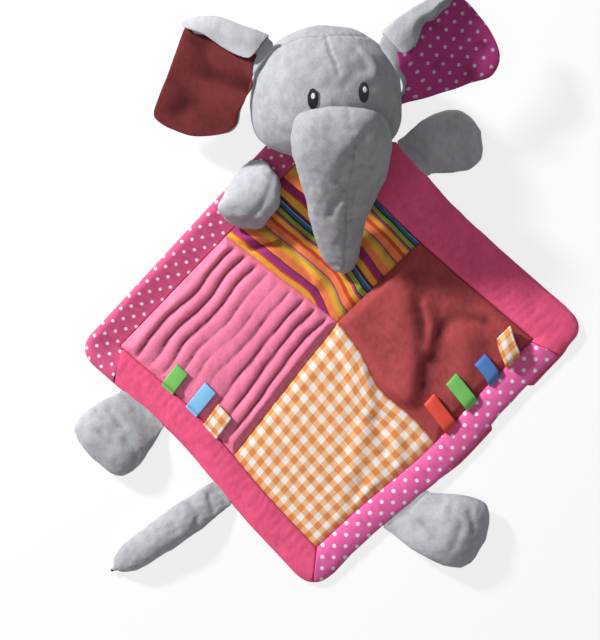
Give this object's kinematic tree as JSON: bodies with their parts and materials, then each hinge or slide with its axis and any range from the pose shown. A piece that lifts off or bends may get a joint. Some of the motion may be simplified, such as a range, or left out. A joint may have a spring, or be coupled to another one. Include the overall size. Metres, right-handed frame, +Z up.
{
  "type": "comfort blanket lovey",
  "caption": "Flat square comfort blanket of sewn patches with padded edges, a stuffed plush elephant head with trunk and ears, stuffed arms, legs and tail, and ribbon tags.",
  "frame": {"origin": "middle of the blanket's flat underside", "axes": "+Z up out of the blanket's front, +Y towards the head, +X to the right of the picture"},
  "size_m": [0.3596, 0.4115, 0.0915],
  "materials": {
    "back_velour": "short pile, deep pink",
    "striped_cotton": "printed stripes of many colours on plain weave",
    "ribbed_plush": "wide ribs of short pile, pink",
    "burgundy_velour": "short pile, burgundy",
    "gingham_cotton": "orange and white woven checks",
    "dotted_cotton": "pink plain weave with white dots",
    "pink_velour": "short pile, pink",
    "grey_plush": "short soft pile, light grey",
    "fibre_stuffing": "loose white fibre, hidden",
    "black_thread": "satin stitch",
    "white_thread": "satin stitch",
    "green_satin": "satin ribbon",
    "light_blue_satin": "satin ribbon",
    "red_satin": "satin ribbon",
    "blue_satin": "satin ribbon"
  },
  "bodies": {
    "blanket": {"back_panel": "back_velour", "patch_stripe": "striped_cotton", "patch_ribbed": "ribbed_plush", "patch_velour": "burgundy_velour", "patch_gingham": "gingham_cotton", "border_upper_left": "dotted_cotton", "border_upper_right": "pink_velour", "border_lower_left": "pink_velour", "border_lower_right": "dotted_cotton"},
    "head": {"head_skin": "grey_plush", "head_stuffing": "fibre_stuffing", "eye_left": "black_thread", "eye_right": "black_thread", "eye_glint_left": "white_thread", "eye_glint_right": "white_thread"},
    "trunk": {"trunk_skin": "grey_plush", "trunk_stuffing": "fibre_stuffing"},
    "ear_left": {"ear_left_back": "grey_plush", "ear_left_lining": "burgundy_velour"},
    "ear_right": {"ear_right_back": "grey_plush", "ear_right_lining": "dotted_cotton"},
    "arm_left": {"arm_left_skin": "grey_plush", "arm_left_stuffing": "fibre_stuffing"},
    "arm_right": {"arm_right_skin": "grey_plush", "arm_right_stuffing": "fibre_stuffing"},
    "leg_left": {"leg_left_skin": "grey_plush", "leg_left_stuffing": "fibre_stuffing"},
    "leg_right": {"leg_right_skin": "grey_plush", "leg_right_stuffing": "fibre_stuffing"},
    "tail": {"tail_skin": "grey_plush", "tail_stuffing": "fibre_stuffing", "tail_knot": "black_thread"},
    "tag_left_green": {"tag_left_green": "green_satin"},
    "tag_left_light_blue": {"tag_left_light_blue": "light_blue_satin"},
    "tag_left_gingham": {"tag_left_gingham": "gingham_cotton"},
    "tag_right_red": {"tag_right_red": "red_satin"},
    "tag_right_green": {"tag_right_green": "green_satin"},
    "tag_right_blue": {"tag_right_blue": "blue_satin"},
    "tag_right_gingham": {"tag_right_gingham": "gingham_cotton"}
  },
  "joints": [
    {"name": "head_nod", "type": "hinge", "parent": "blanket", "child": "head", "pos_m": [0, 0.137, 0], "axis": [-1, 0, 0], "range_deg": [0, 70]},
    {"name": "trunk_lift", "type": "hinge", "parent": "head", "child": "trunk", "pos_m": [0.00901, 0.14919, 0.07772], "axis": [-1, 0, 0], "range_deg": [0, 60]},
    {"name": "ear_left_flap", "type": "hinge", "parent": "head", "child": "ear_left", "pos_m": [-0.04114, 0.1888, 0.06047], "axis": [0.5865, 0.8099, -0.0095], "range_deg": [-15, 80]},
    {"name": "ear_right_flap", "type": "hinge", "parent": "head", "child": "ear_right", "pos_m": [0.04114, 0.1888, 0.06047], "axis": [0.5865, -0.8099, 0.0095], "range_deg": [0, 80]},
    {"name": "arm_left_flip", "type": "hinge", "parent": "blanket", "child": "arm_left", "pos_m": [-0.04942, 0.12146, 0.00906], "axis": [-0.6797, -0.7335, 0], "range_deg": [0, 100]},
    {"name": "arm_right_fold", "type": "hinge", "parent": "blanket", "child": "arm_right", "pos_m": [0.06394, 0.12622, 0.00337], "axis": [0.6788, -0.7344, 0], "range_deg": [-75, 90]},
    {"name": "leg_left_fold", "type": "hinge", "parent": "blanket", "child": "leg_left", "pos_m": [-0.13107, -0.05454, 0.00337], "axis": [-0.7593, 0.6507, 0], "range_deg": [-80, 90]},
    {"name": "leg_right_fold", "type": "hinge", "parent": "blanket", "child": "leg_right", "pos_m": [0.05822, -0.12546, 0.00337], "axis": [-0.7759, -0.6309, 0], "range_deg": [-80, 90]},
    {"name": "tail_fold", "type": "hinge", "parent": "blanket", "child": "tail", "pos_m": [-0.07487, -0.11409, 0.00337], "axis": [-0.6308, 0.776, 0], "range_deg": [-80, 90]},
    {"name": "tag_left_green_flip", "type": "hinge", "parent": "blanket", "child": "tag_left_green", "pos_m": [-0.11144, -0.03835, 0.00446], "axis": [0.7544, -0.6564, 0], "range_deg": [0, 90]},
    {"name": "tag_left_light_blue_flip", "type": "hinge", "parent": "blanket", "child": "tag_left_light_blue", "pos_m": [-0.0943, -0.0541, 0.00446], "axis": [0.7137, -0.7004, 0], "range_deg": [0, 90]},
    {"name": "tag_left_gingham_flip", "type": "hinge", "parent": "blanket", "child": "tag_left_gingham", "pos_m": [-0.08089, -0.06817, 0.00446], "axis": [0.6683, -0.7439, 0], "range_deg": [0, 90]},
    {"name": "tag_right_red_flip", "type": "hinge", "parent": "blanket", "child": "tag_right_red", "pos_m": [0.08883, -0.06612, 0.00446], "axis": [0.6723, 0.7402, 0], "range_deg": [0, 90]},
    {"name": "tag_right_green_flip", "type": "hinge", "parent": "blanket", "child": "tag_right_green", "pos_m": [0.10355, -0.04966, 0.00446], "axis": [0.667, 0.7451, 0], "range_deg": [0, 90]},
    {"name": "tag_right_blue_flip", "type": "hinge", "parent": "blanket", "child": "tag_right_blue", "pos_m": [0.1198, -0.03212, 0.00446], "axis": [0.6938, 0.7202, 0], "range_deg": [0, 90]},
    {"name": "tag_right_gingham_flip", "type": "hinge", "parent": "blanket", "child": "tag_right_gingham", "pos_m": [0.13298, -0.01879, 0.00446], "axis": [0.7108, 0.7034, 0], "range_deg": [0, 90]}
  ]
}
